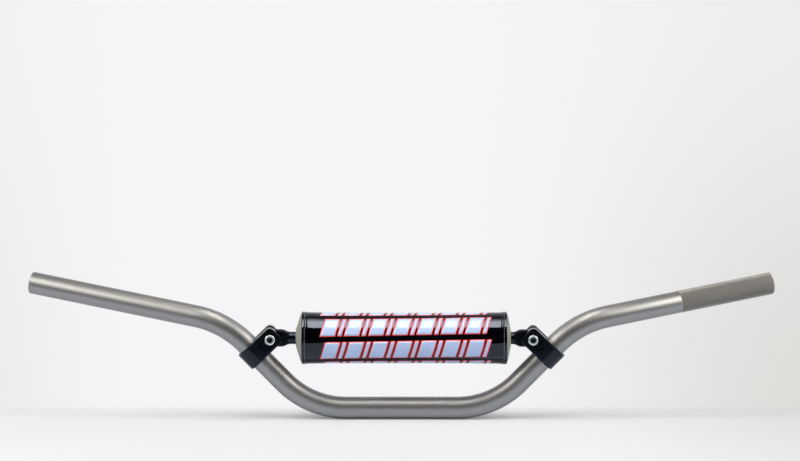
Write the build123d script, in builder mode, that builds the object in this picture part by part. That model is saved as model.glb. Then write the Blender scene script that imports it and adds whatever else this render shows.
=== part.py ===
"""Off-road motorcycle handlebar with a bolted crossbar and a round bar pad.

Millimetres. The origin is the centre of the straight clamping section's axis.
+X points to the rider's left, +Y to the rear (the way the grips sweep) and +Z up.
"""
from build123d import *
from math import cos, radians, sin, sqrt
import os

os.makedirs("parts", exist_ok=True)

# ---- Handlebar tube: one bent aluminium tube, 7/8 inch outside ----
tube_radius = 11.1
tube_wall = 3.6
centre_corner_x = 92.6       # where the centre section's axis meets the riser's axis
riser_angle = 45.7
riser_length = 121.7         # from the lower corner to the upper corner
lower_bend_radius = 87.0
upper_bend_radius = 87.0
grip_length = 208.0          # from the upper corner to the tube's end
grip_sweep = 54.8            # how far the grip runs to the rear
grip_rise = 32.2             # how far the grip climbs
knurl_length = 100.0         # knurled band for the glued grip, rider's left
knurl_radius = 11.2          # over the knurl's crests
end_chamfer = 0.6

# ---- Crossbar: round rod whose ends are flattened into drilled lugs ----
rod_radius = 6.2
lug_radius = 8.9
lug_thickness = 10.5
neck_start_x = 111.5         # the rod starts to swell towards the lug here
neck_end_x = 121.0
flat_start_x = 114.5         # the lug's milled flats start here

# ---- Clamps: one-piece split rings, each with two ears ----
clamp_distance = 78.6        # from the lower corner along the riser to the ring's centre
clamp_width = 20.0           # along the tube
clamp_bore_clearance = 0.1
ring_radius = 14.1
bolt_offset = 21.35          # from the tube's axis to the bolt's axis
ear_reach = 30.8             # from the tube's axis to the ears' tip
ear_corner_radius = 5.5
edge_chamfer = 0.5
pocket_depth = 3.0           # counterbore for the bolt's head, milled as a slot
pocket_radius = 6.4
pocket_run = 6.8             # how far the slot runs towards the tube

# ---- M6 fasteners ----
shank_radius = 3.0
bolt_hole_radius = 3.2
head_radius = 5.15
head_height = 5.6
head_chamfer = 0.7
socket_across_flats = 5.0
socket_depth = 3.2
nut_across_flats = 10.0
nut_hex_height = 4.4
nut_height = 6.0
nut_collar_radius = 4.5
thread_clearance = 0.05
insert_outer_radius = 4.0
insert_height = 1.3
washer_radius = 6.0
washer_thickness = 1.6
bolt_stub = 1.4              # thread that shows past the nut
bolt_tip_chamfer = 0.8

# ---- Bar pad: slit foam core in a sewn cover closed by hook and loop ----
pad_shift = 2.7              # the pad sits this far towards the rider's left
cover_length = 206.4
foam_radius = 24.65
foam_nose_left = 4.0         # the foam's cone stands out past the cover by this much
foam_nose_right = 5.9
foam_bore_clearance = 0.05
foam_slit = 0.6
cover_inner_radius = 24.75
cover_thickness = 0.7
hem_thickness = 0.9
hem_width = 6.0
hem_angle = 285.0
stitch_inset = 3.0           # hem stitching, in from the cover's edge
thread_width = 0.6
thread_height = 0.35
strip_thread_angle = 1.4     # a thread's width on the strips, as an angle
closure_angle = -30.0        # middle of the closure, from the rear towards the top
strip_thickness = 0.9
strip_inset = 8.0            # the strips end this far inside the cover's edges
loop_half_angle = 25.0
hook_half_angle = 21.0
flap_half_angle = 28.0
flap_thread_angle = 18.0     # the flap's stitching rows, from the closure's middle
wall_angle = 2.0             # the cover's step from the inner wall to the outer flap
cut_margin = 1.0             # cutting tools overshoot the stock by this much


def write_piece(piece, name):
    """Label one finished piece and write it."""
    piece.part.label = name
    export_step(piece.part, f"parts/{name}.step")


def write_pair(piece, name):
    """Write a piece of the rider's left and its mirror image on the right."""
    write_piece(piece, f"left_{name}")
    with BuildPart() as twin:
        mirror(piece.part, about=Plane.YZ)
    write_piece(twin, f"right_{name}")


def ring_band(inner_radius, outer_radius, start_angle, sweep_angle):
    """Draw the part of a flat ring between two radii and two angles."""
    with BuildSketch() as band:
        with BuildLine():
            outer = CenterArc((0, 0), outer_radius, start_angle, sweep_angle)
            inner = CenterArc((0, 0), inner_radius, start_angle, sweep_angle)
            Line(outer @ 0, inner @ 0)
            Line(outer @ 1, inner @ 1)
        make_face()
    return band.sketch


# ---- Places that follow from the driving sizes ----
riser_direction = Vector(cos(radians(riser_angle)), 0, sin(radians(riser_angle)))
ear_direction = Vector(-sin(radians(riser_angle)), 0, cos(radians(riser_angle)))
grip_run = sqrt(grip_length**2 - grip_sweep**2 - grip_rise**2)
lower_corner = Vector(centre_corner_x, 0, 0)
upper_corner = lower_corner + riser_direction * riser_length
tube_end = upper_corner + Vector(grip_run, grip_sweep, grip_rise)
grip_direction = (tube_end - upper_corner).normalized()

ring_centre = lower_corner + riser_direction * clamp_distance
bolt_centre = ring_centre + ear_direction * bolt_offset
bolt_x = bolt_centre.X
crossbar_z = bolt_centre.Z

ring_plane = Plane(origin=ring_centre, x_dir=ear_direction, z_dir=riser_direction)
crossbar_plane = Plane(origin=(0, 0, crossbar_z), x_dir=(1, 0, 0), z_dir=(0, -1, 0))
crossbar_axis = Axis((0, 0, crossbar_z), (1, 0, 0))
seat_y = pocket_depth - ring_radius
head_plane = Plane(origin=(bolt_x, seat_y, crossbar_z), x_dir=(1, 0, 0), z_dir=(0, -1, 0))
rear_plane = Plane(origin=(bolt_x, ring_radius, crossbar_z), x_dir=(1, 0, 0), z_dir=(0, 1, 0))

# ---- bar_tube ----
with BuildLine() as tube_axis:
    FilletPolyline(
        (0, 0, 0),
        lower_corner,
        upper_corner,
        tube_end,
        radius=[lower_bend_radius, upper_bend_radius],
    )

with BuildPart() as tube_bore:
    with BuildSketch(Plane.YZ):
        Circle(tube_radius - tube_wall)
    sweep(path=tube_axis.line)
    mirror(about=Plane.YZ)

with BuildPart() as bar_tube:
    with BuildSketch(Plane.YZ):
        Circle(tube_radius)
    sweep(path=tube_axis.line)
    mirror(about=Plane.YZ)
    with BuildSketch(Plane(origin=tube_end, z_dir=-grip_direction)):
        Circle(knurl_radius)
    extrude(amount=knurl_length)
    add(tube_bore.part, mode=Mode.SUBTRACT)
    for end_face in (bar_tube.faces().sort_by(Axis.X)[0], bar_tube.faces().sort_by(Axis.X)[-1]):
        chamfer(end_face.outer_wire().edges(), length=end_chamfer)
write_piece(bar_tube, "bar_tube")

# ---- crossbar ----
neck_middle = ((neck_start_x + neck_end_x) / 2, (rod_radius + lug_radius) / 2)
lug_tip_x = bolt_x + lug_radius
with BuildPart() as crossbar:
    with BuildSketch(crossbar_plane):
        with BuildLine():
            Line((0, 0), (0, rod_radius))
            Line((0, rod_radius), (neck_start_x, rod_radius))
            TangentArc((neck_start_x, rod_radius), neck_middle, tangent=(1, 0))
            TangentArc((neck_end_x, lug_radius), neck_middle, tangent=(-1, 0))
            Line((neck_end_x, lug_radius), (lug_tip_x, lug_radius))
            Line((lug_tip_x, lug_radius), (lug_tip_x, 0))
            Line((lug_tip_x, 0), (0, 0))
        make_face()
    revolve(axis=crossbar_axis)
    flat_length = lug_tip_x - flat_start_x + cut_margin
    flat_depth = lug_radius - lug_thickness / 2 + cut_margin
    for side in (-1, 1):
        flat_y = side * (lug_thickness + flat_depth) / 2
        with Locations((flat_start_x + flat_length / 2, flat_y, crossbar_z)):
            Box(flat_length, flat_depth, 3 * lug_radius, mode=Mode.SUBTRACT)
    with BuildSketch(crossbar_plane):
        with Locations((bolt_x + lug_radius, 0)):
            Rectangle(2 * lug_radius, 3 * lug_radius)
        with Locations((bolt_x, 0)):
            Circle(lug_radius, mode=Mode.SUBTRACT)
    extrude(amount=lug_thickness, both=True, mode=Mode.SUBTRACT)
    with BuildSketch(crossbar_plane):
        with Locations((bolt_x, 0)):
            Circle(bolt_hole_radius)
    extrude(amount=lug_thickness, both=True, mode=Mode.SUBTRACT)
    mirror(about=Plane.YZ)
write_piece(crossbar, "crossbar")

# ---- clamps ----
with BuildPart() as clamp:
    with BuildSketch(ring_plane):
        Circle(ring_radius)
        with Locations((ear_reach / 2, 0)):
            Rectangle(ear_reach, 2 * ring_radius)
    extrude(amount=clamp_width / 2, both=True)
    tip_corners = clamp.edges().filter_by(Axis.Y).group_by(Axis(ring_centre, ear_direction))[-1]
    fillet(tip_corners, radius=ear_corner_radius)
    for ear_side in (0, -1):
        ear_face = clamp.faces().filter_by(Axis.Y).sort_by(Axis.Y)[ear_side]
        chamfer(ear_face.outer_wire().edges(), length=edge_chamfer)
    with BuildSketch(ring_plane):
        Circle(tube_radius + clamp_bore_clearance)
        with Locations((ear_reach, 0)):
            Rectangle(2 * ear_reach, lug_thickness)
    extrude(amount=clamp_width, both=True, mode=Mode.SUBTRACT)
    with BuildSketch(crossbar_plane):
        with Locations((bolt_x, 0)):
            Circle(bolt_hole_radius)
    extrude(amount=2 * ring_radius, both=True, mode=Mode.SUBTRACT)
    pocket_plane = Plane(origin=(bolt_x, seat_y, crossbar_z), x_dir=-ear_direction, z_dir=(0, -1, 0))
    with BuildSketch(pocket_plane):
        with Locations((pocket_run / 2, 0)):
            SlotCenterToCenter(pocket_run, 2 * pocket_radius)
    extrude(amount=2 * pocket_depth, mode=Mode.SUBTRACT)
write_pair(clamp, "clamp")

# ---- clamp bolts: M6 cap screws ----
bolt_length = 2 * ring_radius - pocket_depth + washer_thickness + nut_height + bolt_stub
with BuildPart() as clamp_bolt:
    with BuildSketch(head_plane):
        Circle(head_radius)
    extrude(amount=head_height)
    chamfer(clamp_bolt.faces().sort_by(Axis.Y)[0].outer_wire().edges(), length=head_chamfer)
    with BuildSketch(head_plane.offset(head_height)):
        RegularPolygon(socket_across_flats / 2, side_count=6, major_radius=False)
    extrude(amount=-socket_depth, mode=Mode.SUBTRACT)
    with BuildSketch(head_plane):
        Circle(shank_radius)
    extrude(amount=-bolt_length)
    chamfer(clamp_bolt.faces().sort_by(Axis.Y)[-1].edges(), length=bolt_tip_chamfer)
write_pair(clamp_bolt, "clamp_bolt")

# ---- washers, lock nuts and their nylon inserts ----
with BuildPart() as clamp_washer:
    with BuildSketch(rear_plane):
        Circle(washer_radius)
        Circle(bolt_hole_radius, mode=Mode.SUBTRACT)
    extrude(amount=washer_thickness)
write_pair(clamp_washer, "clamp_washer")

nut_plane = rear_plane.offset(washer_thickness)
insert_plane = nut_plane.offset(nut_height - insert_height)
with BuildPart() as clamp_nut:
    with BuildSketch(nut_plane):
        RegularPolygon(nut_across_flats / 2, side_count=6, major_radius=False)
    extrude(amount=nut_hex_height)
    with BuildSketch(nut_plane.offset(nut_hex_height)):
        Circle(nut_collar_radius)
    extrude(amount=nut_height - nut_hex_height)
    with BuildSketch(nut_plane):
        Circle(shank_radius + thread_clearance)
    extrude(amount=nut_height, mode=Mode.SUBTRACT)
    with BuildSketch(insert_plane):
        Circle(insert_outer_radius)
    extrude(amount=insert_height, mode=Mode.SUBTRACT)
write_pair(clamp_nut, "clamp_nut")

with BuildPart() as nut_insert:
    with BuildSketch(insert_plane):
        Circle(insert_outer_radius - thread_clearance)
        Circle(shank_radius + thread_clearance, mode=Mode.SUBTRACT)
    extrude(amount=insert_height)
write_pair(nut_insert, "nut_insert")

# ---- bar pad: every section is drawn looking along +X, angles from the rear towards the top ----
cover_start_x = pad_shift - cover_length / 2
cover_outer_radius = cover_inner_radius + cover_thickness
hem_radius = cover_outer_radius + hem_thickness
loop_radius = cover_outer_radius + strip_thickness
flap_inner_radius = loop_radius + strip_thickness
flap_outer_radius = flap_inner_radius + cover_thickness
free_edge_angle = closure_angle - flap_half_angle
step_angle = free_edge_angle - 3 * wall_angle
flap_sweep = 2 * flap_half_angle + 3 * wall_angle
hem_start_angle = closure_angle + 180 - hem_angle / 2
strip_length = cover_length - 2 * strip_inset


def pad_plane(inset):
    """Return the section plane that lies this far inside the cover's right-hand edge."""
    return Plane(origin=(cover_start_x + inset, 0, crossbar_z), x_dir=(0, 1, 0), z_dir=(1, 0, 0))


with BuildPart() as pad_foam:
    with BuildSketch(crossbar_plane):
        with BuildLine():
            Polyline(
                (pad_shift - cover_length / 2, foam_radius),
                (pad_shift + cover_length / 2, foam_radius),
                (pad_shift + cover_length / 2 + foam_nose_left, rod_radius + foam_bore_clearance),
                (pad_shift - cover_length / 2 - foam_nose_right, rod_radius + foam_bore_clearance),
                close=True,
            )
        make_face()
    revolve(axis=crossbar_axis)
    with BuildSketch(pad_plane(-foam_nose_right)):
        with PolarLocations(foam_radius / 2, 1, start_angle=closure_angle):
            Rectangle(foam_radius + 2 * cut_margin, foam_slit)
    extrude(amount=cover_length + foam_nose_left + foam_nose_right, mode=Mode.SUBTRACT)
write_piece(pad_foam, "pad_foam")

with BuildPart() as pad_cover:
    with BuildSketch(pad_plane(0)):
        add(ring_band(cover_inner_radius, cover_outer_radius, free_edge_angle, 360 - 2 * wall_angle))
        add(ring_band(cover_inner_radius, flap_outer_radius, step_angle, wall_angle))
        add(ring_band(flap_inner_radius, flap_outer_radius, step_angle, flap_sweep))
    extrude(amount=cover_length)
    for inset in (0, cover_length - hem_width):
        with BuildSketch(pad_plane(inset)):
            add(ring_band(cover_outer_radius, hem_radius, hem_start_angle, hem_angle))
        extrude(amount=hem_width)
write_piece(pad_cover, "pad_cover")

# ---- hook and loop strips inside the closure ----
for name, inner_radius, half_angle in (
    ("loop_strip", cover_outer_radius, loop_half_angle),
    ("hook_strip", loop_radius, hook_half_angle),
):
    with BuildPart() as strip:
        with BuildSketch(pad_plane(strip_inset)):
            start = closure_angle - half_angle
            add(ring_band(inner_radius, inner_radius + strip_thickness, start, 2 * half_angle))
        extrude(amount=strip_length)
    write_piece(strip, name)

# ---- sewing threads: a ring round each hem, and two rows along each strip ----
for name, inset in (
    ("right_hem_thread", stitch_inset),
    ("left_hem_thread", cover_length - stitch_inset - thread_width),
):
    with BuildPart() as hem_thread:
        with BuildSketch(pad_plane(inset)):
            add(ring_band(hem_radius, hem_radius + thread_height, hem_start_angle, hem_angle))
        extrude(amount=thread_width)
    write_piece(hem_thread, name)

for name, inner_radius, row_angle in (
    ("loop_strip_thread", loop_radius, (loop_half_angle + hook_half_angle) / 2),
    ("hook_strip_thread", flap_outer_radius, flap_thread_angle),
):
    with BuildPart() as strip_thread:
        with BuildSketch(pad_plane(strip_inset)):
            for side in (-1, 1):
                start = closure_angle + side * row_angle - strip_thread_angle / 2
                add(ring_band(inner_radius, inner_radius + thread_height, start, strip_thread_angle))
        extrude(amount=strip_length)
    write_piece(strip_thread, name)
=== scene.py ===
"""Looks of the off-road handlebar: peened tube, satin black hardware and a glossy round bar pad."""

from math import acos, cos, degrees, exp, floor, pi, radians, sin, sqrt, tan

import bpy
from mathutils import Matrix, Quaternion, Vector, noise


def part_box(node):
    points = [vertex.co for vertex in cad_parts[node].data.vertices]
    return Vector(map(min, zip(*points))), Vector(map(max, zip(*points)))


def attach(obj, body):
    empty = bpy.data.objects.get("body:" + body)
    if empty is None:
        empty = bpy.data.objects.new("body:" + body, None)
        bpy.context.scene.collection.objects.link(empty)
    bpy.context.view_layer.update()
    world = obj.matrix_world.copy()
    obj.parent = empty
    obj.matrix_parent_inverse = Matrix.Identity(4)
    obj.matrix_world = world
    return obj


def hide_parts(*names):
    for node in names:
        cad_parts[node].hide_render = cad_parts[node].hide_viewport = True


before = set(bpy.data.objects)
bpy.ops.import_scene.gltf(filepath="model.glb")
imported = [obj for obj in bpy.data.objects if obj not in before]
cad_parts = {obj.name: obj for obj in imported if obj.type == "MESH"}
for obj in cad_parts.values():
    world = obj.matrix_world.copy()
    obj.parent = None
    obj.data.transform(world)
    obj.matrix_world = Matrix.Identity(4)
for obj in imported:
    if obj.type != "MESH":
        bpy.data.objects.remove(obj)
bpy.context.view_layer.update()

MM = 0.001


# ---------------------------------------------------------------- small helpers
def linear(hex_colour):
    """Turn an sRGB hex colour into linear RGBA."""
    channels = [int(hex_colour[i:i + 2], 16) / 255 for i in (1, 3, 5)]
    lit = [c / 12.92 if c <= 0.04045 else ((c + 0.055) / 1.055) ** 2.4 for c in channels]
    return (*lit, 1.0)


def smooth_step(low, high, value):
    """Rise smoothly from 0 at low to 1 at high."""
    t = min(max((value - low) / (high - low), 0.0), 1.0)
    return t * t * (3 - 2 * t)


def mix(a, b, t):
    """Go from a to b as t goes from 0 to 1."""
    return a + (b - a) * t


def spread(low, high, count):
    """Return count + 1 evenly spaced values from low to high."""
    return [mix(low, high, i / count) for i in range(count + 1)]


def add_node(tree, kind, sockets=None, **settings):
    """Add a shader node, set its properties, and fill its inputs with values or links."""
    made = tree.nodes.new(kind)
    for name, value in settings.items():
        setattr(made, name, value)
    for name, value in (sockets or {}).items():
        if isinstance(value, bpy.types.NodeSocket):
            tree.links.new(value, made.inputs[name])
        else:
            made.inputs[name].default_value = value
    return made


def new_material(name):
    """Start a material and return it with its tree, its shader and object coordinates in metres."""
    made = bpy.data.materials.new(name)
    made.use_nodes = True
    tree = made.node_tree
    shader = tree.nodes["Principled BSDF"]
    place = add_node(tree, "ShaderNodeTexCoord").outputs["Object"]
    return made, tree, shader, place


def per_metre(pattern_mm):
    """Texture scale whose pattern repeats about once in this many millimetres."""
    return 1000 / pattern_mm


# ---------------------------------------------------------------- materials
def anodised_peened_aluminium(name, dark, light, roughness):
    """Shot-peened, hard anodised aluminium: a rough grey metal under a thin clear oxide."""
    made, tree, shader, place = new_material(name)
    dimples = add_node(tree, "ShaderNodeTexVoronoi", {"Vector": place, "Scale": per_metre(0.55)},
                       feature="SMOOTH_F1")
    cloud = add_node(tree, "ShaderNodeTexNoise", {"Vector": place, "Scale": per_metre(9), "Detail": 4})
    tint = add_node(tree, "ShaderNodeMix", {
        "Factor": cloud.outputs["Fac"],
        "A": linear(dark), "B": linear(light)}, data_type="RGBA")
    tree.links.new(tint.outputs["Result"], shader.inputs["Base Color"])
    bump = add_node(tree, "ShaderNodeBump", {
        "Height": dimples.outputs["Distance"], "Strength": 0.25, "Distance": 0.03 * MM})
    tree.links.new(bump.outputs["Normal"], shader.inputs["Normal"])
    shader.inputs["Metallic"].default_value = 1.0
    shader.inputs["Roughness"].default_value = roughness
    return made


def satin_black_anodised():
    """Tumbled and black anodised aluminium: near black, with a soft sheen and fine speckle."""
    made, tree, shader, place = new_material("satin_black_anodised")
    speckle = add_node(tree, "ShaderNodeTexNoise", {"Vector": place, "Scale": per_metre(0.5), "Detail": 3})
    tint = add_node(tree, "ShaderNodeMix", {
        "Factor": speckle.outputs["Fac"],
        "A": linear("#05070A"), "B": linear("#0A0D12")}, data_type="RGBA")
    tree.links.new(tint.outputs["Result"], shader.inputs["Base Color"])
    bump = add_node(tree, "ShaderNodeBump", {
        "Height": speckle.outputs["Fac"], "Strength": 0.15, "Distance": 0.02 * MM})
    tree.links.new(bump.outputs["Normal"], shader.inputs["Normal"])
    shader.inputs["Metallic"].default_value = 0.0
    shader.inputs["Roughness"].default_value = 0.2
    shader.inputs["IOR"].default_value = 1.45
    shader.inputs["Specular Tint"].default_value = linear("#D8E6FF")
    return made


def bright_zinc_plate():
    """Cold-forged steel, bright zinc plated: pale grey, a little blue, finely mottled."""
    made, tree, shader, place = new_material("bright_zinc_plate")
    grain = add_node(tree, "ShaderNodeTexNoise", {"Vector": place, "Scale": per_metre(0.8), "Detail": 5})
    tint = add_node(tree, "ShaderNodeMix", {
        "Factor": grain.outputs["Fac"],
        "A": linear("#CDD5D3"), "B": linear("#E2E8E6")}, data_type="RGBA")
    tree.links.new(tint.outputs["Result"], shader.inputs["Base Color"])
    bump = add_node(tree, "ShaderNodeBump", {
        "Height": grain.outputs["Fac"], "Strength": 0.2, "Distance": 0.02 * MM})
    tree.links.new(bump.outputs["Normal"], shader.inputs["Normal"])
    shader.inputs["Metallic"].default_value = 1.0
    shader.inputs["Roughness"].default_value = 0.38
    return made


def painted_socket_shade():
    """Inside of a cap screw's socket: painted shade of the deep recess, dark grey with a faint mottle."""
    made, tree, shader, place = new_material("painted_socket_shade")
    # painted shade: the socket is coloured near black because it lies in shadow
    shade_mottle = add_node(tree, "ShaderNodeTexNoise", {"Vector": place, "Scale": per_metre(1.0), "Detail": 3})
    tint = add_node(tree, "ShaderNodeMix", {
        "Factor": shade_mottle.outputs["Fac"],
        "A": linear("#1B1D1F"), "B": linear("#34373A")}, data_type="RGBA")
    tree.links.new(tint.outputs["Result"], shader.inputs["Base Color"])
    shader.inputs["Roughness"].default_value = 0.55
    return made


def natural_nylon():
    """Moulded natural nylon: milky white, softly glossy."""
    made, tree, shader, place = new_material("natural_nylon")
    cloud = add_node(tree, "ShaderNodeTexNoise", {"Vector": place, "Scale": per_metre(2)})
    tint = add_node(tree, "ShaderNodeMix", {
        "Factor": cloud.outputs["Fac"],
        "A": linear("#D9D7CB"), "B": linear("#E6E4DA")}, data_type="RGBA")
    tree.links.new(tint.outputs["Result"], shader.inputs["Base Color"])
    shader.inputs["Roughness"].default_value = 0.4
    shader.inputs["IOR"].default_value = 1.53
    return made


def closed_cell_foam():
    """Cut closed-cell foam: matt grey beige, full of small open cells on the cut faces."""
    made, tree, shader, place = new_material("closed_cell_foam")
    cells = add_node(tree, "ShaderNodeTexVoronoi", {"Vector": place, "Scale": per_metre(0.7)})
    cloud = add_node(tree, "ShaderNodeTexNoise", {"Vector": place, "Scale": per_metre(7), "Detail": 5})
    tint = add_node(tree, "ShaderNodeMix", {
        "Factor": cloud.outputs["Fac"],
        "A": linear("#8B8A7C"), "B": linear("#A09F92")}, data_type="RGBA")
    tree.links.new(tint.outputs["Result"], shader.inputs["Base Color"])
    bump = add_node(tree, "ShaderNodeBump", {
        "Height": cells.outputs["Distance"], "Strength": 0.5, "Distance": 0.15 * MM})
    tree.links.new(bump.outputs["Normal"], shader.inputs["Normal"])
    shader.inputs["Roughness"].default_value = 0.85
    shader.inputs["Sheen Weight"].default_value = 0.15
    return made


def glossy_black_vinyl():
    """Calendered PVC on a knit backing: deep black with a wet gloss over a faint orange peel."""
    made, tree, shader, place = new_material("glossy_black_vinyl")
    peel = add_node(tree, "ShaderNodeTexNoise", {"Vector": place, "Scale": per_metre(4), "Detail": 2})
    tint = add_node(tree, "ShaderNodeMix", {
        "Factor": peel.outputs["Fac"],
        "A": linear("#020205"), "B": linear("#050509")}, data_type="RGBA")
    tree.links.new(tint.outputs["Result"], shader.inputs["Base Color"])
    bump = add_node(tree, "ShaderNodeBump", {
        "Height": peel.outputs["Fac"], "Strength": 0.06, "Distance": 0.1 * MM})
    tree.links.new(bump.outputs["Normal"], shader.inputs["Normal"])
    shader.inputs["Roughness"].default_value = 0.07
    shader.inputs["IOR"].default_value = 1.54
    shader.inputs["Specular Tint"].default_value = linear("#E4EDFF")
    return made


def screen_print(name, dark, light):
    """Screen-printed vinyl ink: even colour with a very fine mottle, as glossy as the cover."""
    made, tree, shader, place = new_material(name)
    mottle = add_node(tree, "ShaderNodeTexNoise", {"Vector": place, "Scale": per_metre(1.2), "Detail": 2})
    tint = add_node(tree, "ShaderNodeMix", {
        "Factor": mottle.outputs["Fac"], "A": linear(dark), "B": linear(light)}, data_type="RGBA")
    tree.links.new(tint.outputs["Result"], shader.inputs["Base Color"])
    shader.inputs["Roughness"].default_value = 0.07
    shader.inputs["IOR"].default_value = 1.5
    return made


def hook_and_loop_tape():
    """Woven nylon tape with cut hooks or brushed loops: black, matt, finely tufted."""
    made, tree, shader, place = new_material("hook_and_loop_tape")
    tufts = add_node(tree, "ShaderNodeTexVoronoi", {"Vector": place, "Scale": per_metre(0.9)})
    tint = add_node(tree, "ShaderNodeMix", {
        "Factor": tufts.outputs["Distance"],
        "A": linear("#1C1D20"), "B": linear("#0A0A0C")}, data_type="RGBA")
    tree.links.new(tint.outputs["Result"], shader.inputs["Base Color"])
    bump = add_node(tree, "ShaderNodeBump", {
        "Height": tufts.outputs["Distance"], "Strength": 0.8, "Distance": 0.3 * MM})
    tree.links.new(bump.outputs["Normal"], shader.inputs["Normal"])
    shader.inputs["Roughness"].default_value = 0.9
    shader.inputs["Sheen Weight"].default_value = 0.3
    return made


def bonded_sewing_thread():
    """Bonded polyester thread: blue grey, a little uneven, a little shiny."""
    made, tree, shader, place = new_material("bonded_sewing_thread")
    fleck = add_node(tree, "ShaderNodeTexNoise", {"Vector": place, "Scale": per_metre(0.4), "Detail": 2})
    tint = add_node(tree, "ShaderNodeMix", {
        "Factor": fleck.outputs["Fac"],
        "A": linear("#7E858F"), "B": linear("#A4AAB2")}, data_type="RGBA")
    tree.links.new(tint.outputs["Result"], shader.inputs["Base Color"])
    shader.inputs["Roughness"].default_value = 0.55
    shader.inputs["Sheen Weight"].default_value = 0.2
    return made


def laser_mark():
    """Anodising burnt off by a laser: bare aluminium, pale and matt."""
    made, tree, shader, place = new_material("laser_mark")
    frost = add_node(tree, "ShaderNodeTexNoise", {"Vector": place, "Scale": per_metre(0.3)})
    tint = add_node(tree, "ShaderNodeMix", {
        "Factor": frost.outputs["Fac"],
        "A": linear("#B9B6AF"), "B": linear("#CFCCC5")}, data_type="RGBA")
    tree.links.new(tint.outputs["Result"], shader.inputs["Base Color"])
    shader.inputs["Metallic"].default_value = 0.3
    shader.inputs["Roughness"].default_value = 0.6
    return made


tube_metal = anodised_peened_aluminium("anodised_peened_aluminium", "#9C9A96", "#A4A29F", 0.44)
knurl_metal = anodised_peened_aluminium("anodised_knurled_aluminium", "#9A9791", "#A29F99", 0.5)
black_metal = satin_black_anodised()
zinc = bright_zinc_plate()
socket_shade_material = painted_socket_shade()
nylon = natural_nylon()
foam_skin = closed_cell_foam()
vinyl = glossy_black_vinyl()
pale_ink = screen_print("pale_blue_ink", "#B9CDF2", "#C6D8F8")
red_ink = screen_print("red_ink", "#FF3A2C", "#FF4636")
tape = hook_and_loop_tape()
thread = bonded_sewing_thread()
etched = laser_mark()


# ---------------------------------------------------------------- mesh helpers
def make_piece(name, points, faces, material, body, slot, replaced=()):
    """Make one visible piece of the object from points in millimetres."""
    mesh = bpy.data.meshes.new(name)
    mesh.from_pydata([Vector(p) * MM for p in points], [], faces)
    mesh.validate()
    mesh.materials.append(material)
    mesh.shade_smooth()
    piece = bpy.data.objects.new(name, mesh)
    bpy.context.scene.collection.objects.link(piece)
    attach(piece, body)
    if replaced:
        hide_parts(*replaced)
    return piece


def sharpen(piece, angle=35):
    """Keep edges sharper than this many degrees crisp."""
    piece.data.set_sharp_from_angle(angle=radians(angle))


def shell(outer, inner, points, faces):
    """Add a closed shell between two grids of points of the same size."""
    rows, columns = len(outer), len(outer[0])
    start = len(points)
    for grid in (outer, inner):
        for row in grid:
            points.extend(row)

    def at(layer, row, column):
        return start + (layer * rows + row) * columns + column

    for row in range(rows - 1):
        for column in range(columns - 1):
            square = [(row, column), (row, column + 1), (row + 1, column + 1), (row + 1, column)]
            faces.append([at(0, r, c) for r, c in square])
            faces.append([at(1, r, c) for r, c in reversed(square)])
    border = [(0, c) for c in range(columns)]
    border += [(r, columns - 1) for r in range(1, rows)]
    border += [(rows - 1, c) for c in range(columns - 2, -1, -1)]
    border += [(r, 0) for r in range(rows - 2, 0, -1)]
    for here, after in zip(border, border[1:] + border[:1]):
        faces.append([at(0, *here), at(1, *here), at(1, *after), at(0, *after)])


# ---------------------------------------------------------------- handlebar tube
TUBE_RADIUS = 11.1
BORE_RADIUS = 7.5
CENTRE_CORNER_X = 92.6
RISER_ANGLE = radians(45.7)
RISER_LENGTH = 121.7
LOWER_BEND = 87.0
UPPER_BEND = 87.0
BEND_STEP = radians(2.5)      # between rings round a bend
GRIP_LENGTH = 208.0
GRIP_SWEEP = 54.8
GRIP_RISE = 32.2
KNURL_LENGTH = 100.0
KNURL_COLUMNS = 120          # crests and grooves around the tube, 60 diamonds
KNURL_ROW = 0.8              # half a diamond's length along the tube
CREST_RADIUS = 11.22
GROOVE_RADIUS = 10.86
CREST_FLAT = 0.28            # share of a diamond's half width left flat on top
END_CHAMFER = 0.6
MARK_LIFT = 0.03             # the laser marks stand this far above and reach this far below the surface
LONG_TICK_START = 25.0       # first long tick, out from the middle of the bar
LONG_TICK_PITCH = 5.1
LONG_TICK_WIDTH = 0.8
LONG_TICK_ANGLE = 62         # where the long ticks begin, from the front towards the top
LONG_TICK_SWEEP = 34
SHORT_TICK_PITCH = 3.2
SHORT_TICK_WIDTH = 1.3
SHORT_TICK_ANGLE = 78
SHORT_TICK_SWEEP = 9

riser = Vector((cos(RISER_ANGLE), 0, sin(RISER_ANGLE)))
lower_corner = Vector((CENTRE_CORNER_X, 0, 0))
upper_corner = lower_corner + riser * RISER_LENGTH
grip_run = sqrt(GRIP_LENGTH ** 2 - GRIP_SWEEP ** 2 - GRIP_RISE ** 2)
tube_end = upper_corner + Vector((grip_run, GRIP_SWEEP, GRIP_RISE))
grip = (tube_end - upper_corner).normalized()


def bend_points(corner, before, after, radius):
    """Return points and tangents along the arc that rounds a corner of the tube's axis."""
    turn = acos(before.dot(after))
    start = corner - before * radius * tan(turn / 2)
    inward = (after - before * before.dot(after)).normalized()
    made = []
    for angle in spread(0, turn, max(2, round(turn / BEND_STEP))):
        point = start + before * radius * sin(angle) + inward * radius * (1 - cos(angle))
        made.append((point, before * cos(angle) + inward * sin(angle)))
    return made


def half_axis():
    """Return the tube's axis from the centre out to the rider's left, as points and tangents."""
    across = Vector((1, 0, 0))
    stops = [(Vector((0, 0, 0)), across)]
    stops += bend_points(lower_corner, across, riser, LOWER_BEND)
    stops += bend_points(upper_corner, riser, grip, UPPER_BEND)
    stops.append((tube_end, grip))
    return stops


def rings_along(stops):
    """Return a frame of two crosswise directions at each stop, carried along without twisting."""
    up = Vector((0, 0, 1))
    frames = []
    for point, tangent in stops:
        up = (up - tangent * up.dot(tangent)).normalized()
        frames.append((point, up, tangent.cross(up)))
    return frames


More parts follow.
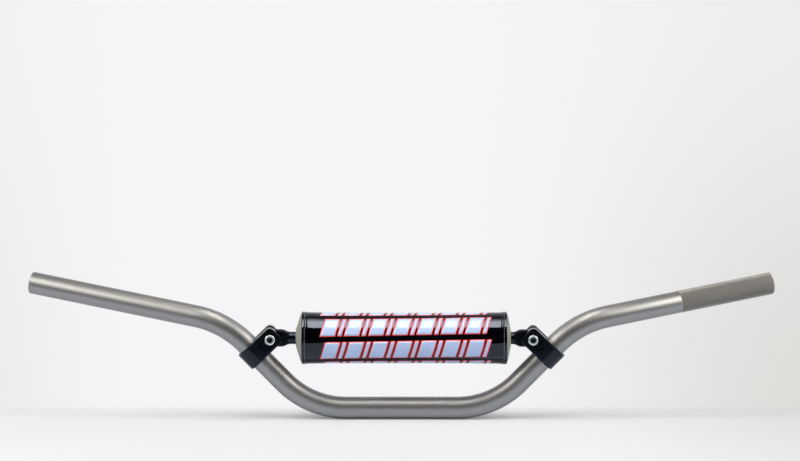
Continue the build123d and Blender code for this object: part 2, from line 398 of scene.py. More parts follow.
def ring(place, radius):
    """Return a circle of points round the tube's axis."""
    point, up, side = place
    turn = 2 * pi / KNURL_COLUMNS
    return [point + (up * cos(i * turn) + side * sin(i * turn)) * radius for i in range(KNURL_COLUMNS)]


def flipped(place):
    """Return the frame that faces this one on the rider's right."""
    mirror = Matrix.Diagonal((-1, 1, 1))
    return tuple(mirror @ vector for vector in place)


def join_rings(first, second, columns, faces):
    """Bridge two rings of points, given the index of each ring's first point."""
    for i in range(columns):
        after = (i + 1) % columns
        faces.append([first + i, first + after, second + after, second + i])


def add_knurl(places, points, faces, first_ring):
    """Add the diamond knurl after the plain tube's last ring, and return its own last ring."""
    rows = len(places)
    low = [first_ring]
    for row in range(1, rows):
        low.append(len(points))
        last = row == rows - 1
        points.extend(ring(places[row], TUBE_RADIUS - 0.05 if last else GROOVE_RADIUS))

    def grid(row, column):
        return low[row] + column % KNURL_COLUMNS

    for row in range(rows):
        for column in range(KNURL_COLUMNS):
            if (row + column) % 2 == 0:
                continue
            left, right = grid(row, column - 1), grid(row, column + 1)
            if row == 0:
                above = grid(1, column)
                faces += [[left, grid(0, column), above], [grid(0, column), right, above]]
                continue
            if row == rows - 1:
                below = grid(row - 1, column)
                faces += [[below, grid(row, column), left], [below, right, grid(row, column)]]
                continue
            corners = [left, grid(row - 1, column), right, grid(row + 1, column)]
            centre = points[grid(row, column)]
            axis_point = places[row][0]
            outward = (centre - axis_point).normalized()
            apex = axis_point + outward * CREST_RADIUS
            crest = len(points)
            for corner in corners:
                lean = points[corner] - centre
                lean -= outward * lean.dot(outward)
                points.append(apex + lean * CREST_FLAT)
            faces.append([crest, crest + 1, crest + 2, crest + 3])
            for i in range(4):
                j = (i + 1) % 4
                faces.append([corners[i], corners[j], crest + j, crest + i])
    return low[-1]


def make_tube():
    """Bent tube with its bore, chamfered ends and the knurled band on the rider's left."""
    left = rings_along(half_axis())
    end_point, end_up, end_side = left[-1]
    knurl_start = (end_point - grip * KNURL_LENGTH, end_up, end_side)
    rows = 2 * round((KNURL_LENGTH - END_CHAMFER) / KNURL_ROW / 2)
    row_step = (KNURL_LENGTH - END_CHAMFER) / rows
    knurled = [(knurl_start[0] + grip * row_step * i, end_up, end_side) for i in range(rows + 1)]
    right = [flipped(place) for place in reversed(left[1:])]
    plain = right + left[:-1] + [knurled[0]]
    right_grip = Vector((-grip.x, grip.y, grip.z))

    points, faces = [], []
    starts = []

    def outer_ring(place, radius):
        starts.append(len(points))
        points.extend(ring(place, radius))

    outer_ring(right[0], TUBE_RADIUS - END_CHAMFER)
    shoulder = (right[0][0] - right_grip * END_CHAMFER, right[0][1], right[0][2])
    outer_ring(shoulder, TUBE_RADIUS)
    for place in plain[1:]:
        outer_ring(place, TUBE_RADIUS)
    for first, second in zip(starts, starts[1:]):
        join_rings(first, second, KNURL_COLUMNS, faces)
    knurl_end = add_knurl(knurled, points, faces, starts[-1])
    tip = len(points)
    points.extend(ring(left[-1], TUBE_RADIUS - END_CHAMFER))
    join_rings(knurl_end, tip, KNURL_COLUMNS, faces)

    inner = []
    for place in right + left:
        inner.append(len(points))
        points.extend(ring(place, BORE_RADIUS))
    for first, second in zip(inner, inner[1:]):
        join_rings(second, first, KNURL_COLUMNS, faces)
    join_rings(inner[0], starts[0], KNURL_COLUMNS, faces)
    join_rings(tip, inner[-1], KNURL_COLUMNS, faces)
    tube = make_piece("handlebar_tube", points, faces, tube_metal, "bar", "anodised_tube", ["bar_tube"])
    tube.data.materials.append(knurl_metal)
    for polygon in tube.data.polygons:
        out = polygon.center / MM - knurl_start[0]
        along = out.dot(grip)
        polygon.material_index = int(along > 0 and (out - grip * along).length > BORE_RADIUS + 1)
    sharpen(tube, 30)


def tube_patch(x, start_angle, width, sweep_angle, points, faces):
    """Add a thin raised mark on the centre section, angles from the front towards the top."""
    outer, inner = [], []
    for angle in spread(radians(start_angle), radians(start_angle + sweep_angle), 6):
        for grid, radius in ((outer, TUBE_RADIUS + MARK_LIFT), (inner, TUBE_RADIUS - MARK_LIFT)):
            y, z = -radius * cos(angle), radius * sin(angle)
            grid.append([Vector((x - width / 2, y, z)), Vector((x + width / 2, y, z))])
    shell(outer, inner, points, faces)


def make_centre_marks():
    """Laser-marked scale for centring the bar in its clamps: long ticks and a row of short ones."""
    points, faces = [], []
    for side in (-1, 1):
        for step in range(4):
            x = side * (LONG_TICK_START + LONG_TICK_PITCH * step)
            tube_patch(x, LONG_TICK_ANGLE, LONG_TICK_WIDTH, LONG_TICK_SWEEP, points, faces)
    for step in range(-5, 6):
        tube_patch(SHORT_TICK_PITCH * step, SHORT_TICK_ANGLE, SHORT_TICK_WIDTH, SHORT_TICK_SWEEP,
                   points, faces)
    make_piece("centring_scale", points, faces, etched, "bar", "anodised_tube")


make_tube()
make_centre_marks()


# ---------------------------------------------------------------- carried-over hardware
def dress(node, material):
    """Give a CAD node its finish."""
    node_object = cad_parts[node]
    for socket in node_object.material_slots:
        socket.material = material


HEAD_RADIUS = 5.12
HEAD_HEIGHT = 5.6
SOCKET_ACROSS = 5.0
SOCKET_DEPTH = 3.2
SHANK_RADIUS = 2.97
THREAD_PITCH = 1.0
THREAD_LENGTH = 12.0
BOLT_COLUMNS = 90


def ribbed(radius, depth):
    """Radius of a cap screw's knurled side."""
    return lambda turn: radius - depth * (0.5 - 0.5 * cos(30 * turn))


def hexagon(half_across):
    """Radius of a hexagon with this half width across its flats."""
    return lambda turn: half_across / cos((turn + pi / 6) % (pi / 3) - pi / 6)


def make_bolt(side_name):
    """Cap screw lying along Y: a hexagon socket, a ribbed head and a threaded end."""
    low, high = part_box(f"{side_name}_clamp_bolt")
    x, z = (low.x + high.x) / 2 / MM, (low.z + high.z) / 2 / MM
    face, tip = low.y / MM, high.y / MM
    flat = SOCKET_ACROSS / 2
    rings = [
        (face + SOCKET_DEPTH + 0.9, lambda turn: 0.05),
        (face + SOCKET_DEPTH, lambda turn: flat - 0.3),
        (face + SOCKET_DEPTH, hexagon(flat)),
        (face + 0.35, hexagon(flat)),
        (face, lambda turn: flat * 1.19),
        (face, lambda turn: HEAD_RADIUS - 0.75),
        (face + 0.12, lambda turn: HEAD_RADIUS - 0.5),
        (face + 0.7, ribbed(HEAD_RADIUS, 0.05)),
        (face + 0.9, ribbed(HEAD_RADIUS, 0.16)),
        (face + HEAD_HEIGHT - 0.6, ribbed(HEAD_RADIUS, 0.16)),
        (face + HEAD_HEIGHT, lambda turn: HEAD_RADIUS - 0.3),
        (face + HEAD_HEIGHT, lambda turn: SHANK_RADIUS + 0.2),
        (face + HEAD_HEIGHT + 0.3, lambda turn: SHANK_RADIUS),
    ]
    thread_start, thread_end = tip - THREAD_LENGTH, tip - 0.7
    for y in spread(thread_start, thread_end, 90):
        def flank(turn, y=y):
            wave = abs(((y / THREAD_PITCH + turn / (2 * pi)) % 1) * 2 - 1)
            return SHANK_RADIUS - 0.55 * wave * smooth_step(thread_start, thread_start + 1, y)
        rings.append((y, flank))
    rings += [(tip, lambda turn: SHANK_RADIUS - 0.7), (tip, lambda turn: 0.05)]
    points, faces = [], []
    for y, radius in rings:
        for i in range(BOLT_COLUMNS):
            turn = 2 * pi * i / BOLT_COLUMNS
            points.append(Vector((x + radius(turn) * cos(turn), y, z + radius(turn) * sin(turn))))
    for row in range(len(rings) - 1):
        join_rings(row * BOLT_COLUMNS, (row + 1) * BOLT_COLUMNS, BOLT_COLUMNS, faces)
    faces.append(list(reversed(range(BOLT_COLUMNS))))
    last = (len(rings) - 1) * BOLT_COLUMNS
    faces.append([last + i for i in range(BOLT_COLUMNS)])
    bolt = make_piece(f"{side_name}_cap_screw", points, faces, zinc, "bar", "zinc",
                      [f"{side_name}_clamp_bolt"])
    # the socket's walls and floor get the painted shade of the recess
    bolt.data.materials.append(socket_shade_material)
    for polygon in bolt.data.polygons:
        centre = polygon.center / MM
        if centre.y > face + 0.1 and (centre - Vector((x, centre.y, z))).length < flat * 1.15:
            polygon.material_index = int(centre.y < face + HEAD_HEIGHT - 1)
    sharpen(bolt, 30)


dress("crossbar", black_metal)
for side in ("left", "right"):
    make_bolt(side)
    dress(f"{side}_clamp", black_metal)
    dress(f"{side}_clamp_nut", zinc)
    dress(f"{side}_clamp_washer", zinc)
    dress(f"{side}_nut_insert", nylon)


# ---------------------------------------------------------------- bar pad
pad_low, pad_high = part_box("pad_cover")
rod_low, rod_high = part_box("crossbar")
PAD_X = (pad_low.x + pad_high.x) / 2 / MM
PAD_HALF = (pad_high.x - pad_low.x) / 2 / MM
ROD_Z = (rod_low.z + rod_high.z) / 2 / MM
COVER_INNER = 24.75
COVER_THICKNESS = 0.65
FLARE = 0.8                  # the cover opens out this much towards its ends
HEM_WIDTH = 5.0
HEM_RISE = 0.3
STITCH_INSET = 3.0
STITCH_PITCH = 2.5
STITCH_LENGTH = 1.55
THREAD_RADIUS = 0.23
CLOSURE_ANGLE = -30.0        # angles run from the rear towards the top, in degrees
FLAP_HALF_ANGLE = 28.0
FLAP_RISE = 2.5
STEP_ANGLE = 6.0
STRIP_THICKNESS = 0.9
STRIP_INSET = 8.0
LOOP_HALF_ANGLE = 25.0
HOOK_HALF_ANGLE = 21.0
FLAP_ROW_ANGLE = 18.0        # stitching rows of the flap, from the closure's middle
LOOP_ROW_ANGLE = 23.0
STRIP_STITCH_PITCH = 3.0
STRIP_STITCH_LENGTH = 2.2
GATHER_RADIUS = 25.5         # the gathers at the hem are spaced along a circle of this radius
FOAM_NOSE_LEFT = 4.0         # the foam's cone stands out past the cover by this much
FOAM_NOSE_RIGHT = 5.9
ROD_RADIUS = 6.25


def pad_point(x, angle, radius):
    """Return a point of the pad from its place along the pad, its angle and its radius."""
    turn = radians(angle)
    return Vector((PAD_X + x, radius * cos(turn), ROD_Z + radius * sin(turn)))


def pucker(x, angle):
    """Small unevenness of the cover: gathers at the stitching and slack near the ends."""
    edge = PAD_HALF - abs(x)
    gather = 0.05 * exp(-((edge - STITCH_INSET) / 1.6) ** 2)
    gather *= cos(2 * pi * radians(angle) * GATHER_RADIUS / STITCH_PITCH)
    slack = 0.03 + 0.14 * smooth_step(34, 4, edge) * (1.0 if x > 0 else 0.6)
    wave = noise.noise(Vector((x / 9, angle / 26, 3.1)))
    long_wave = noise.noise(Vector((x / 40, angle / 60, 7.7)))
    return gather + slack * wave + 0.08 * long_wave


def cover_radius(x, angle):
    """Outer radius of the cover where it lies on the foam."""
    edge = PAD_HALF - abs(x)
    flare = FLARE * (abs(x) / PAD_HALF) ** 3
    hem = HEM_RISE * smooth_step(HEM_WIDTH + 0.8, HEM_WIDTH - 0.2, edge)
    groove = 0.16 * exp(-((edge - STITCH_INSET) / 0.45) ** 2)
    rounding = 0.0
    fold = 0.55
    if edge < fold:
        rounding = fold - sqrt(max(fold ** 2 - (fold - edge) ** 2, 0.0))
    return COVER_INNER + COVER_THICKNESS + flare + hem - groove - rounding + pucker(x, angle)


def cover_steps():
    """Return places along the pad, closer together at the hems."""
    fine = [0.0, 0.1, 0.25, 0.45, 0.7, 1.0, 1.5, 2.0, 2.4, 2.7, 3.0, 3.3, 3.6, 4.0, 4.6, 5.2, 5.8, 6.6]
    left = [-PAD_HALF + edge for edge in fine]
    middle = spread(-PAD_HALF + 8, PAD_HALF - 8, 150)
    return left + middle + [-x for x in reversed(left)]


def make_cover():
    """Vinyl cover: one sheet rolled round the foam, its outer flap lapped over the inner edge."""
    free_edge = CLOSURE_ANGLE - FLAP_HALF_ANGLE
    outer, inner = [], []
    lapped = 360 - STEP_ANGLE
    angles = spread(0, lapped, 240) + spread(lapped, 360, 8)[1:]
    angles += spread(360, 360 + 2 * FLAP_HALF_ANGLE, 40)[1:]
    for along in angles:
        angle = free_edge + along
        rise = FLAP_RISE * smooth_step(lapped, 360, along)
        outer_row, inner_row = [], []
        for x in cover_steps():
            lining = COVER_INNER + rise + FLARE * (abs(x) / PAD_HALF) ** 3
            outer_row.append(pad_point(x, angle, cover_radius(x, angle) + rise))
            inner_row.append(pad_point(x, angle, lining))
        outer.append(outer_row)
        inner.append(inner_row)
    points, faces = [], []
    shell(outer, inner, points, faces)
    cover = make_piece("vinyl_cover", points, faces, vinyl, "pad", "vinyl", ["pad_cover"])
    sharpen(cover, 50)


def make_foam():
    """Foam core: bored and slit, with coned ends that stand out past the cover."""
    def cone(nose):
        profile = [(-nose, ROD_RADIUS), (-nose - 0.15, ROD_RADIUS + 0.8)]
        for t in spread(0, 1, 12):
            profile.append((mix(-nose, -0.9, t), mix(ROD_RADIUS + 1.4, COVER_INNER - 0.8, t ** 0.92)))
        profile += [(-0.3, COVER_INNER - 0.2), (0.6, COVER_INNER), (3.0, COVER_INNER)]
        return [(edge - PAD_HALF, radius) for edge, radius in profile]

    line = cone(FOAM_NOSE_RIGHT) + [(-x, radius) for x, radius in reversed(cone(FOAM_NOSE_LEFT))]
    outer, inner = [], []
    for angle in spread(CLOSURE_ANGLE + 0.8, CLOSURE_ANGLE + 359.2, 180):
        row = []
        for x, radius in line:
            sag = 0.35 * noise.noise(Vector((x / 12, cos(radians(angle)) * 2, sin(radians(angle)) * 2)))
            past_cover = smooth_step(PAD_HALF - 1, PAD_HALF + 1, abs(x))
            shown = past_cover * smooth_step(ROD_RADIUS + 0.5, 12, radius)
            row.append(pad_point(x, angle, radius + sag * shown))
        outer.append(row)
        inner.append([pad_point(x, angle, ROD_RADIUS - 0.02) for x, _ in line])
    points, faces = [], []
    shell(outer, inner, points, faces)
    foam = make_piece("foam_core", points, faces, foam_skin, "pad", "foam", ["pad_foam"])
    sharpen(foam, 50)


def make_strip(name, node, half_angle, level):
    """Hook or loop tape under the flap, its face roughened by its tufts."""
    points, faces = [], []
    base = COVER_INNER + COVER_THICKNESS + 0.1 + level * STRIP_THICKNESS
    outer, inner = [], []
    for angle in spread(CLOSURE_ANGLE - half_angle, CLOSURE_ANGLE + half_angle, 34):
        outer_row, inner_row = [], []
        for x in spread(-PAD_HALF + STRIP_INSET, PAD_HALF - STRIP_INSET, 160):
            tuft = 0.08 * noise.noise(Vector((x * 0.9, angle * 0.5, 5.0 + level)))
            outer_row.append(pad_point(x, angle, base + STRIP_THICKNESS - 0.12 + tuft))
            inner_row.append(pad_point(x, angle, base))
        outer.append(outer_row)
        inner.append(inner_row)
    shell(outer, inner, points, faces)
    make_piece(name, points, faces, tape, "pad", "strip", [node])


def add_stitch(start, end, outward, points, faces):
    """Add one stitch: a short thread that rises from its two needle holes."""
    sides, steps = 6, 6
    along = (end - start).normalized()
    across = along.cross(outward).normalized()
    rings = []
    for t in spread(0, 1, steps):
        lift = THREAD_RADIUS * (1.5 * sin(pi * t) ** 0.6 - 0.55)
        radius = THREAD_RADIUS * (0.45 + 0.55 * sin(pi * t) ** 0.5)
        centre = start.lerp(end, t) + outward * lift
        rings.append(len(points))
        for i in range(sides):
            turn = 2 * pi * i / sides
            points.append(centre + (across * cos(turn) + outward * sin(turn)) * radius)
    for first, second in zip(rings, rings[1:]):
        join_rings(first, second, sides, faces)
    faces.append([rings[0] + i for i in reversed(range(sides))])
    faces.append([rings[-1] + i for i in range(sides)])


def make_hem_stitching(side_name, side):
    """Row of stitches round one hem, leaving out the flap."""
    points, faces = [], []
    x = side * (PAD_HALF - STITCH_INSET)
    radius = cover_radius(x, 0) + 0.05
    pitch = degrees(STITCH_PITCH / radius)
    length = degrees(STITCH_LENGTH / radius)
    start = CLOSURE_ANGLE + FLAP_HALF_ANGLE + 4
    count = floor((360 - 2 * FLAP_HALF_ANGLE - 12) / pitch)
    for i in range(count):
        angle = start + i * pitch
        middle = angle + length / 2
        here = cover_radius(x, middle)
        outward = pad_point(x, middle, 1) - pad_point(x, middle, 0)
        add_stitch(pad_point(x, angle, here), pad_point(x, angle + length, here), outward, points, faces)
    make_piece(f"{side_name}_hem_stitching", points, faces, thread, "pad", "thread",
               [f"{side_name}_hem_thread"])


def make_strip_stitching(name, node, row_angle, radius_of):
    """Two rows of stitches along a strip."""
    points, faces = [], []
    for side in (-1, 1):
        angle = CLOSURE_ANGLE + side * row_angle
        outward = pad_point(0, angle, 1) - pad_point(0, angle, 0)
        x = -PAD_HALF + STRIP_INSET + 1
        while x < PAD_HALF - STRIP_INSET - 3:
            start = pad_point(x, angle, radius_of(x, angle))
            stop = x + STRIP_STITCH_LENGTH
            end = pad_point(stop, angle, radius_of(stop, angle))
            add_stitch(start, end, outward, points, faces)
            x += STRIP_STITCH_PITCH
    make_piece(name, points, faces, thread, "pad", "thread", [node])


make_cover()
make_foam()
make_strip("loop_tape", "loop_strip", LOOP_HALF_ANGLE, 0)
make_strip("hook_tape", "hook_strip", HOOK_HALF_ANGLE, 1)
for side_name, side in (("left", 1), ("right", -1)):
    make_hem_stitching(side_name, side)
make_strip_stitching("flap_stitching", "hook_strip_thread", FLAP_ROW_ANGLE,
                     lambda x, a: cover_radius(x, a + 360) + FLAP_RISE)
make_strip_stitching("loop_tape_stitching", "loop_strip_thread", LOOP_ROW_ANGLE,
                     lambda x, a: COVER_INNER + COVER_THICKNESS + STRIP_THICKNESS)


# ---------------------------------------------------------------- printed pattern
PRINT_START = -82.4          # along the pad, from its middle
PRINT_UNIT = 24.2            # one wide and one narrow leaning bar
PRINT_UNITS = 7
WIDE_BAR = 15.9
PRINT_GAP = 1.7
ROW_PITCH = 57.5
ROW_HEIGHT = 45.2
FIRST_ROW_ANGLE = 77.9       # middle of the lowest row, from the front downwards
ROWS = 5
SLANT = 5.4                  # how far a bar leans over its height, in millimetres
OUTLINE = 0.9                # width of the red outline
TWIST = -9.0                 # the cover is wrapped a little askew, in degrees from end to end
PRINT_RADIUS = 25.45
PRINT_CELL = 1.7             # the print is divided this finely so that it follows the cover


def inset_quad(corners, margin):
    """Move each side of a flat four-cornered outline inwards."""
    lines = []
    for here, after in zip(corners, corners[1:] + corners[:1]):
        direction = (after - here).normalized()
        normal = Vector((-direction.y, direction.x))
        lines.append((here + normal * margin, direction))
    made = []
    for (p, d), (q, e) in zip(lines[-1:] + lines[:-1], lines):
        gap = q - p
        made.append(p + d * ((gap.x * e.y - gap.y * e.x) / (d.x * e.y - d.y * e.x)))
    return made


def print_quad(corners, row_angle, lift, points, faces):
    """Lay a flat four-cornered shape on the cover: x along the pad, y down the front."""
    wide = max(1, round((corners[1] - corners[0]).length / PRINT_CELL))
    tall = max(1, round((corners[3] - corners[0]).length / PRINT_CELL))
    outer, inner = [], []
    for v in spread(0, 1, tall):
        outer_row, inner_row = [], []
        for u in spread(0, 1, wide):
            flat = corners[0].lerp(corners[1], u).lerp(corners[3].lerp(corners[2], u), v)
            angle = 180 + row_angle + degrees(flat.y / PRINT_RADIUS) + TWIST * flat.x / (2 * PAD_HALF)
            radius = cover_radius(flat.x, angle)
            outer_row.append(pad_point(flat.x, angle, radius + lift))
            inner_row.append(pad_point(flat.x, angle, radius - 0.05))
        outer.append(outer_row)
        inner.append(inner_row)
    shell(outer, inner, points, faces)


def make_print():
    """Rows of wide and narrow leaning bars: pale fill inside a red outline."""
    half = radians(ROW_HEIGHT) * PRINT_RADIUS / 2
    lean = SLANT / 2
    pale, red = ([], []), ([], [])
    for row in range(ROWS):
        row_angle = FIRST_ROW_ANGLE - ROW_PITCH * row
        for unit in range(PRINT_UNITS):
            left = PRINT_START + unit * PRINT_UNIT
            narrow = left + WIDE_BAR + PRINT_GAP
            for x0, x1 in ((left, left + WIDE_BAR), (narrow, left + PRINT_UNIT - PRINT_GAP)):
                corners = [Vector((x0 + lean, -half)), Vector((x1 + lean, -half)),
                           Vector((x1 - lean, half)), Vector((x0 - lean, half))]
                print_quad(corners, row_angle, 0.03, *red)
                print_quad(inset_quad(corners, OUTLINE), row_angle, 0.06, *pale)
    make_piece("red_print", *red, red_ink, "pad", "print_ink")
    make_piece("pale_print", *pale, pale_ink, "pad", "print_ink")


make_print()


# ---------------------------------------------------------------- studio
FLOOR_Z = -11.1 * MM
FLOOR_FRONT = -0.335         # the pale table ends here in front, which the gloss shows
PANEL_DISTANCE = 1.5
PANEL_WIDTH = 0.95
PANEL_HEIGHT = 0.85
PANEL_AZIMUTH = 65           # from the front to each side, in degrees
PANEL_ELEVATION = 36.5
PANEL_STRENGTH = 5.7
SOFTBOX_Z = 1.35
SOFTBOX_STRENGTH = 9.0
SOFTBOX_BACK_SHARE = 0.05    # share of its light that is left at its back edge
BACKDROP_Y = 1.3
BACKDROP_HALF_WIDTH = 2.0
BACKDROP_HEIGHT = 0.70
BACKDROP_STRENGTH = 0.9
CAMERA_DISTANCE = 5.0
CAMERA_ELEVATION = radians(9.8)
CAMERA_ROLL = radians(0.05)
CAMERA_X = -0.00825          # the camera stands this far to the side of the bar's middle
CAMERA_AIM = Vector((-0.00165, 0.0, 0.18035))
LENS = 222.9                 # millimetres, on a sensor 36 mm wide
WALL_GLOW = 0.9              # how brightly the walls show in the gloss


def stage_plane(name, corners, material, **visible):
    """Make a flat piece of the studio and set which rays see it."""
    mesh = bpy.data.meshes.new(name)
    mesh.from_pydata(corners, [], [list(range(len(corners)))])
    mesh.materials.append(material)
    plane = bpy.data.objects.new(name, mesh)
    bpy.context.scene.collection.objects.link(plane)
    for ray, seen in visible.items():
        setattr(plane, f"visible_{ray}", seen)
    return plane


def flat_rectangle(x0, x1, y0, y1, z):
    """Return the corners of a level rectangle that faces up."""
    return [(x0, y0, z), (x1, y0, z), (x1, y1, z), (x0, y1, z)]


def table_with_painted_glow(name, albedo, painted_glow_strength, fade):
    """Matt white opal acrylic with a painted glow of its own that lightens its shadows and dims towards the
    sides. With fade, it melts into the background.
    """
    made, tree, shader, place = new_material(name)
    cloud = add_node(tree, "ShaderNodeTexNoise", {"Vector": place, "Scale": 3.0})
    colour = add_node(tree, "ShaderNodeMix", {
        "Factor": cloud.outputs["Fac"],
        "A": linear(albedo[0]), "B": linear(albedo[1])}, data_type="RGBA")
    tree.links.new(colour.outputs["Result"], shader.inputs["Base Color"])
    shader.inputs["Roughness"].default_value = 0.9
    shader.inputs["Specular IOR Level"].default_value = 0.0
    axes = add_node(tree, "ShaderNodeSeparateXYZ", {"Vector": place})
    # painted glow, weaker towards the sides: a painted fall-off of light
    painted_glow_fade = add_node(tree, "ShaderNodeMapRange", {
        "Value": axes.outputs["X"], "From Min": 0.15, "From Max": 0.45,
        "To Min": painted_glow_strength, "To Max": painted_glow_strength * 0.2}, interpolation_type="SMOOTHSTEP")
    shader.inputs["Emission Color"].default_value = linear("#F3F6F8")
    tree.links.new(painted_glow_fade.outputs["Result"], shader.inputs["Emission Strength"])
    if fade:
        behind = add_node(tree, "ShaderNodeMapRange", {
            "Value": axes.outputs["Y"], "From Min": -0.01, "From Max": 0.09,
            "To Min": 1.0, "To Max": 0.0}, interpolation_type="SMOOTHSTEP")
        before = add_node(tree, "ShaderNodeMapRange", {
            "Value": axes.outputs["Y"], "From Min": -0.7, "From Max": -0.35,
            "To Min": 0.0, "To Max": 1.0}, interpolation_type="SMOOTHSTEP")
        sideways = add_node(tree, "ShaderNodeMath", {0: axes.outputs["X"]}, operation="ABSOLUTE")
        beside = add_node(tree, "ShaderNodeMapRange", {
            "Value": sideways.outputs["Value"], "From Min": 0.46, "From Max": 0.8,
            "To Min": 1.0, "To Max": 0.0}, interpolation_type="SMOOTHSTEP")
        near = add_node(tree, "ShaderNodeMath", {
            0: behind.outputs["Result"], 1: before.outputs["Result"]}, operation="MULTIPLY")
        cover = add_node(tree, "ShaderNodeMath", {
            0: near.outputs["Value"], 1: beside.outputs["Result"]}, operation="MULTIPLY")
        tree.links.new(cover.outputs["Value"], shader.inputs["Alpha"])
    return made


def glow(name, strength, back_share=None):
    """An even light panel, or one that fades from its front edge to its back edge."""
    made = bpy.data.materials.new(name)
    made.use_nodes = True
    tree = made.node_tree
    tree.nodes.clear()
    emission = add_node(tree, "ShaderNodeEmission", {"Color": linear("#FFFDFB"), "Strength": strength})
    if back_share is not None:
        place = add_node(tree, "ShaderNodeTexCoord").outputs["Generated"]
        axes = add_node(tree, "ShaderNodeSeparateXYZ", {"Vector": place})
        fall = add_node(tree, "ShaderNodeMapRange", {
            "Value": axes.outputs["Y"], "From Min": 0.48, "From Max": 0.98,
            "To Min": strength, "To Max": strength * back_share}, interpolation_type="SMOOTHSTEP")
        tree.links.new(fall.outputs["Result"], emission.inputs["Strength"])
    output = add_node(tree, "ShaderNodeOutputMaterial")
    tree.links.new(emission.outputs["Emission"], output.inputs["Surface"])
    return made


def side_panel(name, azimuth, elevation, strength):
    """Softbox that faces the object from this side of the front, in degrees."""
    around, up = radians(azimuth), radians(elevation)
    out = Vector((sin(around) * cos(up), -cos(around) * cos(up), sin(up)))
    across = Vector((cos(around), sin(around), 0)) * PANEL_WIDTH / 2
    rise = out.cross(across).normalized() * PANEL_HEIGHT / 2
    centre = out * PANEL_DISTANCE
    corners = [centre - across - rise, centre + across - rise,
               centre + across + rise, centre - across + rise]
    stage_plane(name, corners, glow(f"{name}_glow", strength), camera=False)


def make_studio():
    """Pale floor, overhead softbox, low backdrop and a dark room in front."""
    # the floor the camera sees carries a painted glow that lightens its shadows
    stage_plane("floor", flat_rectangle(-1.5, 1.5, -1.5, 1.5, FLOOR_Z),
                table_with_painted_glow("floor_with_painted_glow", ("#CCCFCF", "#CFD2D2"), 0.16, True),
                glossy=False, diffuse=False, shadow=False)
    stage_plane("table", flat_rectangle(-1.2, 1.2, FLOOR_FRONT, 0.25, FLOOR_Z - 0.0002),
                table_with_painted_glow("opal_acrylic_mirrored", ("#D6DEEA", "#D8E0EC"), 0.0, False), camera=False)
    softbox = [(-0.20, 0.40, SOFTBOX_Z), (0.20, 0.40, SOFTBOX_Z), (0.15, -0.75, SOFTBOX_Z),
               (-0.13, -0.95, SOFTBOX_Z)]
    stage_plane("softbox", softbox, glow("softbox_glow", SOFTBOX_STRENGTH, SOFTBOX_BACK_SHARE),
                camera=False)
    for side_name, side in (("left", -1), ("right", 1)):
        side_panel(f"{side_name}_panel", side * PANEL_AZIMUTH, PANEL_ELEVATION, PANEL_STRENGTH)
    half, top = BACKDROP_HALF_WIDTH, BACKDROP_HEIGHT
    backdrop = [(-half, BACKDROP_Y, 0.0), (half, BACKDROP_Y, 0.0), (half, BACKDROP_Y, top),
                (-half, BACKDROP_Y, top)]
    stage_plane("backdrop", backdrop, glow("backdrop_glow", BACKDROP_STRENGTH), camera=False)


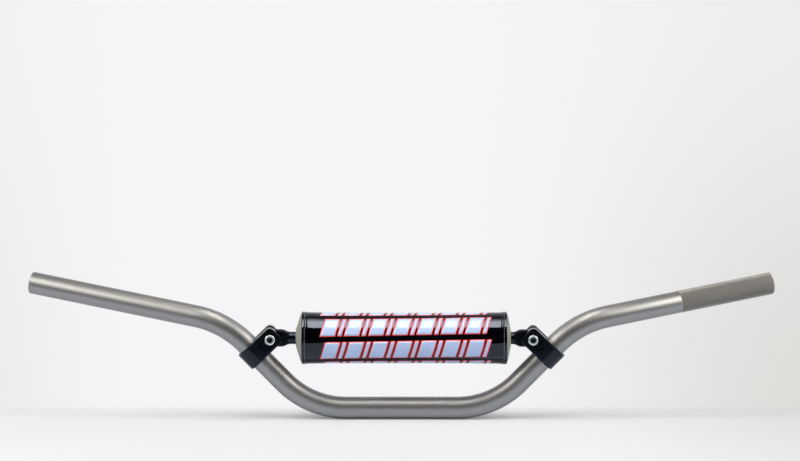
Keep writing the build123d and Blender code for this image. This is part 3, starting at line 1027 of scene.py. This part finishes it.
def make_world():
    """Pale behind the object; it mirrors pale walls behind and beside it and a dark room in front."""
    world = bpy.data.worlds.new("studio")
    bpy.context.scene.world = world
    world.use_nodes = True
    tree = world.node_tree
    tree.nodes.clear()
    direction = add_node(tree, "ShaderNodeTexCoord").outputs["Generated"]
    axes = add_node(tree, "ShaderNodeSeparateXYZ", {"Vector": direction})

    def fall(axis, start, end, low, high):
        return add_node(tree, "ShaderNodeMapRange", {
            "Value": axes.outputs[axis], "From Min": start, "From Max": end,
            "To Min": low, "To Max": high}, interpolation_type="SMOOTHSTEP").outputs["Result"]

    def times(first, second):
        return add_node(tree, "ShaderNodeMath", {0: first, 1: second}, operation="MULTIPLY").outputs["Value"]

    towards_floor = fall("Z", -0.09, -0.17, 0.35, 1.0)
    right = times(fall("X", 0.01, 0.09, 0.0, 1.0), towards_floor)
    left = times(fall("X", -0.05, -0.09, 0.0, 0.45), towards_floor)
    shade = add_node(tree, "ShaderNodeMath", {0: right, 1: left}, operation="ADD")
    pale = add_node(tree, "ShaderNodeMix", {
        "Factor": shade.outputs["Value"],
        "A": linear("#F5F5F7"), "B": linear("#DCDCD9")}, data_type="RGBA")
    seen = add_node(tree, "ShaderNodeBackground", {"Color": pale.outputs["Result"], "Strength": 1.0})
    dark_room = add_node(tree, "ShaderNodeBackground", {"Color": linear("#20242B"), "Strength": 0.6})
    sideways = add_node(tree, "ShaderNodeMath", {0: axes.outputs["X"]}, operation="ABSOLUTE")
    away = add_node(tree, "ShaderNodeMath", {
        0: sideways.outputs["Value"], 1: 0.8, 2: axes.outputs["Y"]}, operation="MULTIPLY_ADD")
    wall = add_node(tree, "ShaderNodeMapRange", {
        "Value": away.outputs["Value"], "From Min": 0.15, "From Max": 1.05,
        "To Min": 0.01, "To Max": WALL_GLOW}, interpolation_type="SMOOTHSTEP")
    mirrored_room = add_node(tree, "ShaderNodeBackground", {
        "Color": linear("#E8ECF4"), "Strength": wall.outputs["Result"]})
    rays = add_node(tree, "ShaderNodeLightPath")
    unseen = add_node(tree, "ShaderNodeMixShader", {0: rays.outputs["Is Glossy Ray"]})
    tree.links.new(dark_room.outputs["Background"], unseen.inputs[1])
    tree.links.new(mirrored_room.outputs["Background"], unseen.inputs[2])
    both = add_node(tree, "ShaderNodeMixShader", {0: rays.outputs["Is Camera Ray"]})
    tree.links.new(unseen.outputs["Shader"], both.inputs[1])
    tree.links.new(seen.outputs["Background"], both.inputs[2])
    output = add_node(tree, "ShaderNodeOutputWorld")
    tree.links.new(both.outputs["Shader"], output.inputs["Surface"])


def make_camera():
    """Long lens in front of the bar, a little above it."""
    camera = bpy.data.cameras.new("camera")
    camera.lens = LENS
    camera.sensor_width = 36.0
    camera.clip_end = 50
    holder = bpy.data.objects.new("camera", camera)
    holder.location = (CAMERA_X, -CAMERA_DISTANCE * cos(CAMERA_ELEVATION),
                       CAMERA_DISTANCE * sin(CAMERA_ELEVATION))
    level = (CAMERA_AIM - holder.location).to_track_quat("-Z", "Y")
    holder.rotation_euler = (level @ Quaternion((0, 0, 1), CAMERA_ROLL)).to_euler()
    bpy.context.scene.collection.objects.link(holder)
    bpy.context.scene.camera = holder


make_studio()
make_world()
make_camera()
bpy.context.scene.view_settings.view_transform = "Standard"
